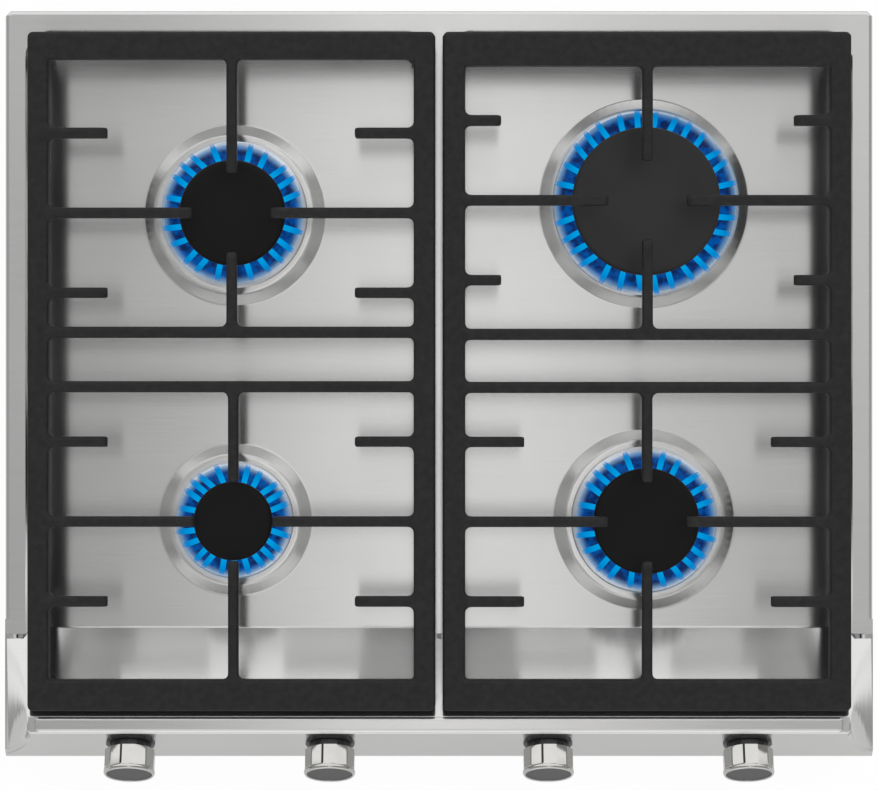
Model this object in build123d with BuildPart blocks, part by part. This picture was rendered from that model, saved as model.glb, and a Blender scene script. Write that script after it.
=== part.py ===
from build123d import *
from math import atan, copysign, cos, degrees, pi, radians, sin, sqrt, tan
import os

# Built-in four-burner gas cooktop. Millimetres, +Z up, front edge towards -Y.
# The origin is the centre of the worktop cut-out, on the worktop's upper surface.

# ---- Driving dimensions -------------------------------------------------------------

# Rounds that repeat or lie hidden are drawn with this many flats, which keeps them light
ROUND = 32
HIDDEN_ROUND = 16
SMALL_ROUND = 12

# Pressed stainless top
TRAY_W = 600.0
TRAY_D = 516.0
TRAY_CORNER = 3.5
SHEET = 1.0
SKIRT_Z = 0.5  # lower edge of the turned-down rim
RIM_Z = 6.5
RIM_EDGE_R = 3.0
WELL_Z = 1.5
WELL_X = (5.0, 286.0)  # rib side and outer side, at rim level
WELL_REAR_Y = 245.0
WELL_CORNER_R = 14.0
WELL_BEND_R = 3.0
WELL_CUT = 10.0  # height of the block that hollows a well out

# Raised front with the control panel
HUMP_Z = 47.5
PANEL_FOOT_Y = -TRAY_D / 2
PANEL_TOP_Y = -237.0
RAMP_TOP_Y = -225.4
RAMP_FOOT_Y = -174.6
RAMP_FOOT_R = 6.0
FOOT_STRIP = 12.0  # flat sheet that the raised front keeps behind the ramp's foot
HUMP_EDGE_R = 2.0
HUMP_CORNER = 2.6
FLARE_MID = (287.7, 20.5)  # a point on the curved end of the raised front
FLARE_TOP_X = 279.6
BEAD_LENGTH = 547.0
BEAD_Y = (-226.0, -236.0)
BEAD_RISE = 2.0
BEAD_EDGE = 1.2
BEAD_CORNER_R = 3.0
LIP_WIDTH = 12.0
LIP_SHORT = 15.0  # the lip stops this far short of each side
PANEL_HOLE_R = 9.0

# Worktop cut-out and the box that hangs in it
BOX_X = 274.0
BOX_Y = (-236.0, 222.0)
BOX_BOTTOM_Z = -44.0
BOX_TOP_Z = WELL_Z - SHEET
BOX_FLANGE = 12.0
BOX_CORNER = 0.6
VENT = (60.0, 6.0)
VENT_PITCH = (180.0, 60.0)
SEAL_WIDTH = 9.0
SEAL_CORNER = 6.0
SEAL_INSET = (0.2, 0.6)  # from the rim's inner wall, and from the panel's

# Burners: name, centre, cap radius, head skirt radius, pressed ring radius, hole radius, ports
BURNERS = {
    "rear_left": (-141.5, 117.0, 36.3, 50.6, 63.2, 30.0, 24),
    "rear_right": (142.0, 125.0, 50.8, 63.6, 73.0, 44.0, 30),
    "front_left": (-141.0, -94.0, 27.0, 40.5, 53.4, 21.0, 24),
    "front_right": (142.0, -94.0, 36.3, 50.6, 63.2, 30.0, 24),
}
RING_SLOPE = 9.5  # the ring's cone, in plan
PLATEAU_Z = 5.0
SKIRT_EDGE = 1.2
SKIRT_TOP = 1.0  # from the crown to the upper edge of the skirt's cone
RING_FOOT_Z = 10.5
HEAD_TOP_Z = 24.0
TOOTH_LENGTH = 6.0  # along the radius, between two flame ports
PORT_SHARE = 0.34  # of the pitch
CAP_THICK = 4.5
CAP_DRAFT = 12.0
CAP_OVERHANG = 1.0
LUG = (2.0, 6.0, 3.0)  # the cap's locating lugs: radial, across, down
LUG_PLAY = 0.5
STUB_R = (6.2, 8.0)
STUB_BOTTOM_Z = -8.0
CUP_FLOOR_Z = -14.0
CUP_WALL = 3.0
CUP_LIP = 1.0
CUP_BOSS_R = 13.0
JET_POCKET_R = 8.0
JET_SEAT_Z = -32.0
GAS_Z = -26.0  # level of the tubes that feed the burners
JET_HEX = (4.6, 8.0)  # radius and height
JET_NOSE = (3.4, 5.0, 15.0)  # radius, height and taper

# Cast-iron pan supports
GRATE_TOP_Z = 56.0
FRAME_DEPTH = 12.0
FINGER_DEPTH = 10.0
FINGER_W = 7.0
BAR_W = 7.6
TIP_GAP = 26.3  # from the centre of a cross to the tip of each long finger
TIP_SLOPE = (4.2, 1.8)
TIP_UNDERCUT = 0.8
SHORT_OFFSET = 54.0
ROOT = 2.0  # how far a finger runs into its rail
FRONT_CHAMFER = 3.0
OUTLINE_CORNER = 2.6
LEG_FOOT_Z = 5.5
LEG = (7.6, 9.6)  # across and along, at the foot
LEG_FLARE = 1.3  # wider on each side where it meets the frame
LEG_ROOT = 2.0  # how far a leg runs up into the frame
FRAME_FLARE = 0.6
PEG = 3.0
PEG_LENGTH = 5.0
INNER_LEG_X = 15.0
GRATE_Y = (-221.0, 237.5)
FRONT_RAIL_Y = -200.0
LEG_Y = (-150.0, 224.0)
# name, outer x, x of the opening's two sides, rear rail's inner y, bar centres, burners
GRATES = {
    "left": ((-277.8, -2.9), (-263.7, -17.1), 219.2, (34.7, -2.1)),
    "right": ((2.9, 278.2), (17.7, 264.0), 214.7, (33.3, -2.6)),
}
# the centre of each cross of fingers and the length of its short fingers
CROSSES = {
    "rear_left": ("left", -140.1, 115.4, 40.0),
    "front_left": ("left", -139.0, -93.2, 40.0),
    "rear_right": ("right", 140.9, 123.9, 24.5),
    "front_right": ("right", 140.6, -93.4, 40.0),
}

# Knobs and gas taps, each named after the burner it feeds
KNOB_X = {"front_left": -211.0, "rear_left": -74.5, "rear_right": 74.5, "front_right": 211.0}
KNOB_Z = 28.0
KNOB_SIDES = 12
KNOB_R = 17.4
KNOB_BACK = 5.5  # distances along the knob's axis are from the panel's surface
KNOB_FRONT = 22.8
FACE_R = 16.0
FACE = (20.2, 22.0)
HUB = (6.0, 9.0)  # radius, and where it starts
POINTER_ANGLE = 105.0
POINTER = (0.8, 1.2)  # depth and width of the groove
BEZEL = (16.8, 1.2)
NECK = (7.5, 14.2, 8.5)  # inner radius, outer radius, height
STEM_R = 3.0
STEM_END = (-21.0, 16.0)
STEM_FLAT = 2.2  # from the axis to the flat
BLADE = (5.0, 2.0, 8.0)  # across, thick, long
PLUG_END = (-25.2, -43.0)
PLUG_R = (5.6, 6.4)
PLUG_GAP = 0.2
PLUG_SLOT = (5.6, 2.3, 8.4)
PLUG_TAIL = (3.0, 2.5)  # radius and length of the round tail behind the taper
STEM_BORE_R = 3.45
TAP_NOSE_R = 7.0
TAP = (20.0, 20.0, -6.0, -44.0)  # width, height, front and back
TAP_OUTLET = 12.0  # sideways from the stem to the feed tube
CHAMBER_FRONT = -20.0
SPIGOT = 10.0
SPIGOT_TOP_Z = 12.0
MANIFOLD = 14.0
MANIFOLD_X = (-225.0, 252.0)
MANIFOLD_Y = -216.0
MANIFOLD_Z = -14.0
LUG_X = (-150.0, 150.0)
TUBE_R = 3.0
TUBE_SIDES = 8
SOCKET_R = 3.3
SOCKET_DEPTH = 3.0
TUBE_BEND = 10.0

# Gas inlet at the rear right corner
INLET_X = 240.0
INLET_R = 10.478  # G 1/2 male
INLET_BORE_R = 7.0
INLET_LENGTH = 16.0
INLET_BLOCK = (26.0, 18.0)
INLET_SHOULDER_R = 11.8
INLET_HOLE_R = 12.3
PIPE_R = 5.0

# Fixings
CLAMP_Y = (-150.0, 150.0)
CLAMP_W = 24.0
CLAMP_PLATE = 1.5
CLAMP_TOP_Z = -8.0
CLAMP_HOOK_Z = -36.0
CLAMP_REACH = 24.0
CLAMP_LIP = 4.0
CLAMP_SCREW_Z = -20.0
BOX_SCREW_Y = (-140.0, 140.0)
SCREW_R = 1.8
SCREW_HOLE_R = 2.0
SCREW_HEAD = (3.6, 2.0)  # radius and height

# ---- Derived geometry ---------------------------------------------------------------

RAMP_SLOPE = (HUMP_Z - RIM_Z) / (RAMP_FOOT_Y - RAMP_TOP_Y)
PANEL_LEAN = atan((PANEL_TOP_Y - PANEL_FOOT_Y) / (HUMP_Z - SKIRT_Z))
KNOB_OUT = (0, -cos(PANEL_LEAN), sin(PANEL_LEAN))
KNOB_Y = PANEL_FOOT_Y + (KNOB_Z - SKIRT_Z) * tan(PANEL_LEAN)
FRAME_Z = GRATE_TOP_Z - FRAME_DEPTH


def ramp_y(z, inset=0.0):
    """Where the ramp behind the raised front stands at height z, moved in by the sheet."""
    return RAMP_FOOT_Y - (z - RIM_Z) / RAMP_SLOPE - inset / sin(atan(RAMP_SLOPE))


def panel_y(z, inset=0.0):
    """Where the sloping control panel stands at height z, moved in by the sheet."""
    return PANEL_FOOT_Y + (z - SKIRT_Z) * tan(PANEL_LEAN) + inset / cos(PANEL_LEAN)


def knob_plane(name, distance=0.0):
    """A plane square to a knob's axis, a distance out from the panel."""
    start = Plane(origin=(KNOB_X[name], KNOB_Y, KNOB_Z), x_dir=(1, 0, 0), z_dir=KNOB_OUT)
    return start.offset(distance)


def save(part, name):
    """Label a finished piece and write it to its own file."""
    part.label = name
    export_step(part, f"parts/{name}.step")


def cup_side(name):
    """1 where a burner's gas tube comes to it from the right, -1 from the left."""
    return copysign(1, KNOB_X[name] - BURNERS[name][0])


def draft(from_r, to_r, height, sides):
    """The taper, in degrees, that takes one many-sided round to another over a height."""
    return degrees(atan((from_r - to_r) * cos(pi / sides) / height))


def plug_r(distance, gap=0.0):
    """The taper plug's radius at a distance along the knob's axis."""
    share = (PLUG_END[0] - distance) / (PLUG_END[0] - PLUG_END[1])
    return PLUG_R[0] + share * (PLUG_R[1] - PLUG_R[0]) + gap


# ---- Pressed stainless top ----------------------------------------------------------


def raised_front(inset):
    """The control panel's block: a side profile and a front profile that cross."""
    base = SKIRT_Z - (SHEET if inset else 0)
    top = HUMP_Z - inset
    rim = RIM_Z - inset
    half = TRAY_W / 2 - inset
    with BuildPart() as hump:
        with BuildSketch(Plane.YZ):
            with BuildLine():
                Polyline(
                    (panel_y(base, inset), base),
                    (panel_y(top, inset), top),
                    (ramp_y(top, inset), top),
                    (ramp_y(rim, inset), rim),
                    (RAMP_FOOT_Y + FOOT_STRIP, rim),
                    (RAMP_FOOT_Y + FOOT_STRIP, base),
                    close=True,
                )
            make_face()
        extrude(amount=half, both=True)
        with BuildSketch(Plane.XZ):
            with BuildLine():
                left = Line((-half, base), (-half, rim))
                ThreePointArc(left @ 1, (inset - FLARE_MID[0], FLARE_MID[1]), (inset - FLARE_TOP_X, top))
                across = Line((inset - FLARE_TOP_X, top), (FLARE_TOP_X - inset, top))
                flare = ThreePointArc(across @ 1, (FLARE_MID[0] - inset, FLARE_MID[1]), (half, rim))
                right = Line(flare @ 1, (half, base))
                Line(right @ 1, left @ 0)
            make_face()
        extrude(amount=TRAY_D, both=True, mode=Mode.INTERSECT)
        foot = hump.edges().filter_by(Axis.X).group_by(Axis.Z)[-2].sort_by(Axis.Y)[0]
        fillet(foot, RAMP_FOOT_R + inset)
        corners = hump.edges().filter_by(GeomType.ELLIPSE).group_by(Axis.Y)[0]
        chamfer(corners, HUMP_CORNER - inset / 2)
        if not inset:
            fillet(hump.faces().sort_by(Axis.Z)[-1].edges(), HUMP_EDGE_R)
    return hump.part


def well(side, inset):
    """The space of one sunken well, which the ramp closes at the front."""
    floor = WELL_Z - inset
    grow = inset * (sqrt(2) - 1)
    depth = RIM_Z - WELL_Z
    with BuildPart() as hollow:
        for z, out in ((floor, grow), (floor + WELL_CUT, grow + WELL_CUT)):
            low = WELL_X[0] + depth - out
            high = WELL_X[1] - depth + out
            rear = WELL_REAR_Y - depth + out
            front = RAMP_FOOT_Y - 2 * WELL_CORNER_R
            with BuildSketch(Plane.XY.offset(z)):
                with Locations((side * (low + high) / 2, (rear + front) / 2)):
                    RectangleRounded(high - low, rear - front, WELL_CORNER_R + out)
        loft(ruled=True)
        with BuildSketch(Plane.YZ):
            Polygon(
                (ramp_y(floor, inset), floor),
                (ramp_y(floor + WELL_CUT, inset), floor + WELL_CUT),
                (TRAY_D, floor + WELL_CUT),
                (TRAY_D, floor),
                align=None,
            )
        extrude(amount=TRAY_W, both=True, mode=Mode.INTERSECT)
        if not inset:
            fillet(hollow.faces().sort_by(Axis.Z)[0].edges(), WELL_BEND_R)
    return hollow.part


def burner_ring(x, y, ring_r, inset):
    """The raised ring pressed round one burner: a shallow cone with a flat top."""
    top_r = ring_r - RING_SLOPE
    foot_r = ring_r - inset
    rise = PLATEAU_Z - WELL_Z
    with BuildPart() as ring:
        with BuildSketch(Plane(origin=(x, y, WELL_Z - 2 * SHEET))):
            RegularPolygon(foot_r, ROUND)
        extrude(amount=2 * SHEET - inset)
        with BuildSketch(Plane(origin=(x, y, WELL_Z - inset))):
            RegularPolygon(foot_r, ROUND)
        extrude(amount=rise, taper=draft(foot_r, top_r, rise, ROUND))
    return ring.part


def pressed_form(inset):
    """The top's shape as a filled block, with every outer surface moved in by inset."""
    base = SKIRT_Z - (SHEET if inset else 0)
    half_d = TRAY_D / 2 - inset
    front = RAMP_FOOT_Y - FOOT_STRIP
    with BuildPart() as form:
        with BuildSketch(Plane.XY.offset(base)):
            with Locations((0, (half_d + front) / 2)):
                Rectangle(TRAY_W - 2 * inset, half_d - front)
        extrude(amount=RIM_Z - inset - base)
        upright_edges = form.edges().filter_by(Axis.Z).group_by(Axis.Y)[-1]
        chamfer(upright_edges, TRAY_CORNER - inset / 2)
        rim_edges = form.faces().sort_by(Axis.Z)[-1].edges()
        if inset:
            chamfer(rim_edges, RIM_EDGE_R / 2)
        else:
            fillet(rim_edges, RIM_EDGE_R)
        add(raised_front(inset))
        for side in (-1, 1):
            add(well(side, inset), mode=Mode.SUBTRACT)
        for x, y, _, _, ring_r, _, _ in BURNERS.values():
            add(burner_ring(x, y, ring_r, inset))
    return form.part


def hob_top():
    """One pressed sheet: the filled form less the same form moved in by the sheet."""
    with BuildPart() as top:
        add(pressed_form(0.0))
        add(pressed_form(SHEET), mode=Mode.SUBTRACT)
        # the rolled bead along the crest
        with BuildSketch(Plane.XY.offset(HUMP_Z - SHEET / 2)):
            with Locations((0, (BEAD_Y[0] + BEAD_Y[1]) / 2)):
                RectangleRounded(BEAD_LENGTH, BEAD_Y[0] - BEAD_Y[1], BEAD_CORNER_R)
        extrude(amount=BEAD_RISE + SHEET / 2)
        chamfer(top.faces().sort_by(Axis.Z)[-1].edges(), BEAD_EDGE)
        # the lip turned in behind the panel's foot, which the seal lies under
        with BuildSketch(Plane.XY.offset(RIM_Z - SHEET)):
            with Locations((0, panel_y(RIM_Z) + LIP_WIDTH / 2 + SEAL_INSET[1])):
                Rectangle(TRAY_W - 2 * LIP_SHORT, LIP_WIDTH)
        extrude(amount=SHEET)
        for x, y, _, _, _, hole_r, _ in BURNERS.values():
            with BuildSketch(Plane(origin=(x, y, PLATEAU_Z))):
                RegularPolygon(hole_r, HIDDEN_ROUND)
            extrude(amount=-2 * SHEET, mode=Mode.SUBTRACT)
        for name in KNOB_X:
            with BuildSketch(knob_plane(name, SHEET)):
                RegularPolygon(PANEL_HOLE_R, SMALL_ROUND)
            extrude(amount=-3 * SHEET, mode=Mode.SUBTRACT)
    save(top.part, "hob_top")


# ---- Seal, box and fixings -----------------------------------------------------------


def worktop_seal():
    """Foam strip between the rim and the worktop, all the way round."""
    side_inset, panel_inset = SEAL_INSET
    outer_x = TRAY_W / 2 - SHEET - RIM_EDGE_R / 2 - side_inset
    rear = TRAY_D / 2 - SHEET - RIM_EDGE_R / 2 - side_inset
    front = panel_y(RIM_Z - SHEET, SHEET) + panel_inset
    with BuildPart() as seal:
        with BuildSketch():
            with Locations((0, (rear + front) / 2)):
                Rectangle(2 * outer_x, rear - front)
                Rectangle(2 * outer_x - 2 * SEAL_WIDTH, rear - front - 2 * SEAL_WIDTH, mode=Mode.SUBTRACT)
        extrude(amount=RIM_Z - SHEET)
        upright_edges = seal.edges().filter_by(Axis.Z).group_by(Axis.X)
        chamfer(upright_edges[0] + upright_edges[-1], SEAL_CORNER)
    save(seal.part, "worktop_seal")


def box_screw_places():
    """Where the box's flange is screwed up to the top."""
    return [(side * (BOX_X - BOX_FLANGE / 2), y) for side in (-1, 1) for y in BOX_SCREW_Y]


def clamp_screw_planes():
    """The outer face of each clamp bracket, at its screw."""
    face = BOX_X + CLAMP_PLATE
    return [
        Plane(origin=(side * face, y, CLAMP_SCREW_Z), z_dir=(side, 0, 0))
        for side in (-1, 1)
        for y in CLAMP_Y
    ]


def burner_box():
    """Open-topped sheet box under the top, with a flange turned in and slots in its floor."""
    depth = BOX_Y[1] - BOX_Y[0]
    middle = (BOX_Y[0] + BOX_Y[1]) / 2
    with BuildPart() as box:
        with BuildSketch(Plane.XY.offset(BOX_BOTTOM_Z)):
            with Locations((0, middle)):
                Rectangle(2 * BOX_X, depth)
        extrude(amount=BOX_TOP_Z - BOX_BOTTOM_Z)
        chamfer(box.edges().filter_by(Axis.Z), BOX_CORNER)
        with BuildSketch(Plane.XY.offset(BOX_BOTTOM_Z + SHEET)):
            with Locations((0, middle)):
                Rectangle(2 * (BOX_X - SHEET), depth - 2 * SHEET)
        extrude(amount=BOX_TOP_Z - BOX_BOTTOM_Z - 2 * SHEET, mode=Mode.SUBTRACT)
        with BuildSketch(Plane.XY.offset(BOX_TOP_Z)):
            with Locations((0, middle)):
                Rectangle(2 * (BOX_X - BOX_FLANGE), depth - 2 * BOX_FLANGE)
        extrude(amount=-2 * SHEET, mode=Mode.SUBTRACT)
        with BuildSketch(Plane.XY.offset(BOX_BOTTOM_Z)):
            with GridLocations(*VENT_PITCH, 3, 2):
                Rectangle(*VENT)
        extrude(amount=2 * SHEET, mode=Mode.SUBTRACT)
        with BuildSketch(Plane(origin=(INLET_X, BOX_Y[1], MANIFOLD_Z), z_dir=(0, 1, 0))):
            RegularPolygon(INLET_HOLE_R, HIDDEN_ROUND)
        extrude(amount=-2 * SHEET, mode=Mode.SUBTRACT)
        for x, y in box_screw_places():
            with BuildSketch(Plane(origin=(x, y, BOX_TOP_Z))):
                RegularPolygon(SCREW_HOLE_R, 6)
            extrude(amount=-2 * SHEET, mode=Mode.SUBTRACT)
        for plane in clamp_screw_planes():
            with BuildSketch(plane):
                RegularPolygon(SCREW_HOLE_R, 6)
            extrude(amount=-CLAMP_PLATE - 2 * SHEET, mode=Mode.SUBTRACT)
    save(box.part, "burner_box")


def screw(plane, length):
    """A hexagon-head screw whose head stands on the plane and whose shank runs behind it."""
    head_r, head_height = SCREW_HEAD
    with BuildPart() as fixing:
        with BuildSketch(plane):
            RegularPolygon(head_r, 6)
        extrude(amount=head_height)
        with BuildSketch(plane):
            RegularPolygon(SCREW_R, 6)
        extrude(amount=-length)
    return fixing.part


def box_screws():
    """Screws up through the box's flange, their heads under it."""
    with BuildPart() as screws:
        for x, y in box_screw_places():
            add(screw(Plane(origin=(x, y, BOX_TOP_Z - SHEET), z_dir=(0, 0, -1)), SHEET))
    save(screws.part, "box_screws")


def clamp_brackets():
    """Hooked plates on the box's sides that hold the cooktop down from under the worktop."""
    with BuildPart() as brackets:
        for side in (-1, 1):
            wall = side * BOX_X
            for y in CLAMP_Y:
                with BuildSketch(Plane.XZ.offset(-y - CLAMP_W / 2)):
                    with BuildLine():
                        Polyline(
                            (wall, CLAMP_TOP_Z),
                            (wall, CLAMP_HOOK_Z),
                            (wall + side * CLAMP_REACH, CLAMP_HOOK_Z),
                            (wall + side * CLAMP_REACH, CLAMP_HOOK_Z + CLAMP_LIP),
                            (wall + side * (CLAMP_REACH - CLAMP_PLATE), CLAMP_HOOK_Z + CLAMP_LIP),
                            (wall + side * (CLAMP_REACH - CLAMP_PLATE), CLAMP_HOOK_Z + CLAMP_PLATE),
                            (wall + side * CLAMP_PLATE, CLAMP_HOOK_Z + CLAMP_PLATE),
                            (wall + side * CLAMP_PLATE, CLAMP_TOP_Z),
                            close=True,
                        )
                    make_face()
                extrude(amount=CLAMP_W)
        for plane in clamp_screw_planes():
            with BuildSketch(plane):
                RegularPolygon(SCREW_HOLE_R, 6)
            extrude(amount=-CLAMP_PLATE, mode=Mode.SUBTRACT)
    save(brackets.part, "clamp_brackets")


def clamp_screws():
    """One screw through each clamp bracket and the box's side, its head outside."""
    with BuildPart() as screws:
        for plane in clamp_screw_planes():
            add(screw(plane, CLAMP_PLATE + SHEET))
    save(screws.part, "clamp_screws")


# ---- Burners -------------------------------------------------------------------------


def burner_cups():
    """Cast cups that stand on the box's floor under the burners' holes and hold the jets."""
    floor = BOX_BOTTOM_Z + SHEET
    under = PLATEAU_Z - SHEET
    with BuildPart() as cups:
        for name, (x, y, _, _, _, hole_r, _) in BURNERS.items():
            with BuildSketch(Plane(origin=(x, y, floor))):
                RegularPolygon(CUP_BOSS_R, HIDDEN_ROUND)
            extrude(amount=CUP_FLOOR_Z - CUP_WALL - floor)
            with BuildSketch(Plane(origin=(x, y, CUP_FLOOR_Z - CUP_WALL))):
                RegularPolygon(hole_r + CUP_WALL, HIDDEN_ROUND)
            extrude(amount=under - CUP_FLOOR_Z + CUP_WALL)
            with BuildSketch(Plane(origin=(x, y, CUP_FLOOR_Z))):
                RegularPolygon(hole_r - CUP_LIP, HIDDEN_ROUND)
            extrude(amount=under - CUP_FLOOR_Z, mode=Mode.SUBTRACT)
            with BuildSketch(Plane(origin=(x, y, JET_SEAT_Z))):
                RegularPolygon(JET_POCKET_R, SMALL_ROUND)
            extrude(amount=CUP_FLOOR_Z - JET_SEAT_Z, mode=Mode.SUBTRACT)
            side = cup_side(name)
            with BuildSketch(Plane(origin=(x + side * CUP_BOSS_R, y, GAS_Z), z_dir=(side, 0, 0))):
                RegularPolygon(SOCKET_R, TUBE_SIDES)
            extrude(amount=-SOCKET_DEPTH, mode=Mode.SUBTRACT)
    save(cups.part, "burner_cups")


def injector_jets():
    """Brass hexagon jets that stand in the bottom of each cup."""
    hex_r, hex_height = JET_HEX
    nose_r, nose_height, nose_taper = JET_NOSE
    with BuildPart() as jets:
        for x, y, *_ in BURNERS.values():
            with BuildSketch(Plane(origin=(x, y, JET_SEAT_Z))):
                RegularPolygon(hex_r, 6)
            extrude(amount=hex_height)
            with BuildSketch(Plane(origin=(x, y, JET_SEAT_Z + hex_height))):
                RegularPolygon(nose_r, 6)
            extrude(amount=nose_height, taper=nose_taper)
    save(jets.part, "injector_jets")


def burner_head(name):
    """Aluminium head: a wide bright skirt, a crown of teeth with flame ports and a stub tube."""
    x, y, cap_r, skirt_r, _, _, ports = BURNERS[name]
    bore_r, stub_r = STUB_R
    crown_r = cap_r - CAP_OVERHANG
    tooth_r = crown_r - TOOTH_LENGTH / 2
    tooth_w = 2 * pi * tooth_r / ports * (1 - PORT_SHARE)
    with BuildPart() as head:
        with BuildSketch(Plane(origin=(x, y, PLATEAU_Z))):
            RegularPolygon(skirt_r, ROUND)
        extrude(amount=SKIRT_EDGE)
        rise = RING_FOOT_Z - PLATEAU_Z - SKIRT_EDGE
        with BuildSketch(Plane(origin=(x, y, PLATEAU_Z + SKIRT_EDGE))):
            RegularPolygon(skirt_r, ROUND)
        extrude(amount=rise, taper=draft(skirt_r, crown_r + SKIRT_TOP, rise, ROUND))
        with BuildSketch(Plane(origin=(x, y, PLATEAU_Z))):
            RegularPolygon(stub_r, SMALL_ROUND)
        extrude(amount=STUB_BOTTOM_Z - PLATEAU_Z)
        with BuildSketch(Plane(origin=(x, y, RING_FOOT_Z))):
            RegularPolygon(bore_r, SMALL_ROUND)
        extrude(amount=STUB_BOTTOM_Z - RING_FOOT_Z, mode=Mode.SUBTRACT)
        with BuildSketch(Plane(origin=(x, y, RING_FOOT_Z))):
            with PolarLocations(tooth_r, ports):
                Rectangle(TOOTH_LENGTH, tooth_w)
        extrude(amount=HEAD_TOP_Z - RING_FOOT_Z)
    save(head.part, f"burner_head_{name}")


def burner_cap(name):
    """Enamelled cap: a disc with a drafted edge and three lugs that locate it in the crown."""
    x, y, cap_r, *_ = BURNERS[name]
    thick, across, down = LUG
    lug_r = cap_r - CAP_OVERHANG - TOOTH_LENGTH - thick / 2 - LUG_PLAY
    with BuildPart() as cap:
        with BuildSketch(Plane(origin=(x, y, HEAD_TOP_Z))):
            RegularPolygon(cap_r, ROUND)
        extrude(amount=CAP_THICK, taper=CAP_DRAFT)
        with BuildSketch(Plane(origin=(x, y, HEAD_TOP_Z))):
            with PolarLocations(lug_r, 3):
                Rectangle(thick, across)
        extrude(amount=-down)
    save(cap.part, f"burner_cap_{name}")


# ---- Pan supports --------------------------------------------------------------------


def finger(start, angle, length):
    """A cast finger from a rail: a flat bar whose tip slopes down at the top."""
    run, drop = TIP_SLOPE
    low = GRATE_TOP_Z - FINGER_DEPTH
    along = (cos(radians(angle)), sin(radians(angle)), 0)
    side = Plane(origin=(*start, 0), x_dir=along, z_dir=(along[1], -along[0], 0))
    with BuildPart() as bar:
        with BuildSketch(side):
            Polygon(
                (-ROOT, low),
                (length - TIP_UNDERCUT, low),
                (length, GRATE_TOP_Z - drop),
                (length - run, GRATE_TOP_Z),
                (-ROOT, GRATE_TOP_Z),
                align=None,
            )
        extrude(amount=FINGER_W / 2, both=True)
    return bar.part


def crossing_fingers(side, x, y, short, opening_y):
    """The four long fingers round one burner and the four short ones beside them."""
    left, right = GRATES[side][1]
    front, rear = opening_y
    bars = [
        finger((left, y), 0, x - TIP_GAP - left),
        finger((right, y), 180, right - x - TIP_GAP),
        finger((x, front), 90, y - TIP_GAP - front),
        finger((x, rear), 270, rear - y - TIP_GAP),
    ]
    for offset in (-SHORT_OFFSET, SHORT_OFFSET):
        bars.append(finger((left, y + offset), 0, short))
        bars.append(finger((right, y + offset), 180, short))
    return bars


def leg_places(side):
    """Where the four legs of one pan support stand."""
    outer, inner, _, _ = GRATES[side]
    sign = copysign(1, outer[0] + outer[1])
    outer_leg = sum(sorted((*outer, *inner), key=abs)[-2:]) / 2
    return [(x, y) for x in (sign * INNER_LEG_X, outer_leg) for y in LEG_Y]


def grate(side):
    """One cast pan support: a drafted frame, two cross bars, fingers and four legs."""
    outer, inner, rear_y, bars = GRATES[side]
    rear_bar, front_bar = bars
    openings = (
        (FRONT_RAIL_Y, front_bar - BAR_W / 2),
        (front_bar + BAR_W / 2, rear_bar - BAR_W / 2),
        (rear_bar + BAR_W / 2, rear_y),
    )
    width = outer[1] - outer[0]
    depth = GRATE_Y[1] - GRATE_Y[0]
    centre = ((outer[0] + outer[1]) / 2, (GRATE_Y[0] + GRATE_Y[1]) / 2)
    with BuildPart() as support:
        with BuildSketch(Plane.XY.offset(FRAME_Z)):
            with Locations(centre):
                Rectangle(width + 2 * FRAME_FLARE, depth + 2 * FRAME_FLARE)
            chamfer(vertices(), OUTLINE_CORNER)
        extrude(amount=FRAME_DEPTH, taper=degrees(atan(FRAME_FLARE / FRAME_DEPTH)))
        # the front rail's lower edge clears the ramp
        low_front = support.faces().sort_by(Axis.Z)[0].edges().filter_by(Axis.X).sort_by(Axis.Y)[0]
        chamfer(low_front, FRONT_CHAMFER)
        with BuildSketch(Plane.XY.offset(FRAME_Z)):
            for low, high in openings:
                with Locations(((inner[0] + inner[1]) / 2, (low + high) / 2)):
                    Rectangle(inner[1] - inner[0], high - low)
        extrude(amount=FRAME_DEPTH, mode=Mode.SUBTRACT)
        for name, (grate_side, x, y, short) in CROSSES.items():
            if grate_side != side:
                continue
            opening = openings[2] if name.startswith("rear") else openings[0]
            for bar in crossing_fingers(side, x, y, short, opening):
                add(bar)
        for x, y in leg_places(side):
            with BuildSketch(Plane(origin=(x, y, FRAME_Z + LEG_ROOT), x_dir=(1, 0, 0), z_dir=(0, 0, -1))):
                Rectangle(LEG[0] + 2 * LEG_FLARE, LEG[1] + 2 * LEG_FLARE)
            long = FRAME_Z + LEG_ROOT - LEG_FOOT_Z
            extrude(amount=long, taper=degrees(atan(LEG_FLARE / long)))
            with BuildSketch(Plane(origin=(x, y, LEG_FOOT_Z))):
                Rectangle(PEG, PEG)
            extrude(amount=PEG_LENGTH, mode=Mode.SUBTRACT)
    save(support.part, f"grate_{side}")


def grate_feet(side):
    """Rubber feet with a peg pushed up into each leg."""
    with BuildPart() as feet:
        for x, y in leg_places(side):
            with BuildSketch(Plane(origin=(x, y, WELL_Z))):
                Rectangle(*LEG)
            extrude(amount=LEG_FOOT_Z - WELL_Z)
            with BuildSketch(Plane(origin=(x, y, LEG_FOOT_Z))):
                Rectangle(PEG, PEG)
            extrude(amount=PEG_LENGTH)
    save(feet.part, f"grate_feet_{side}")


# ---- Knobs ---------------------------------------------------------------------------


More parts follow.
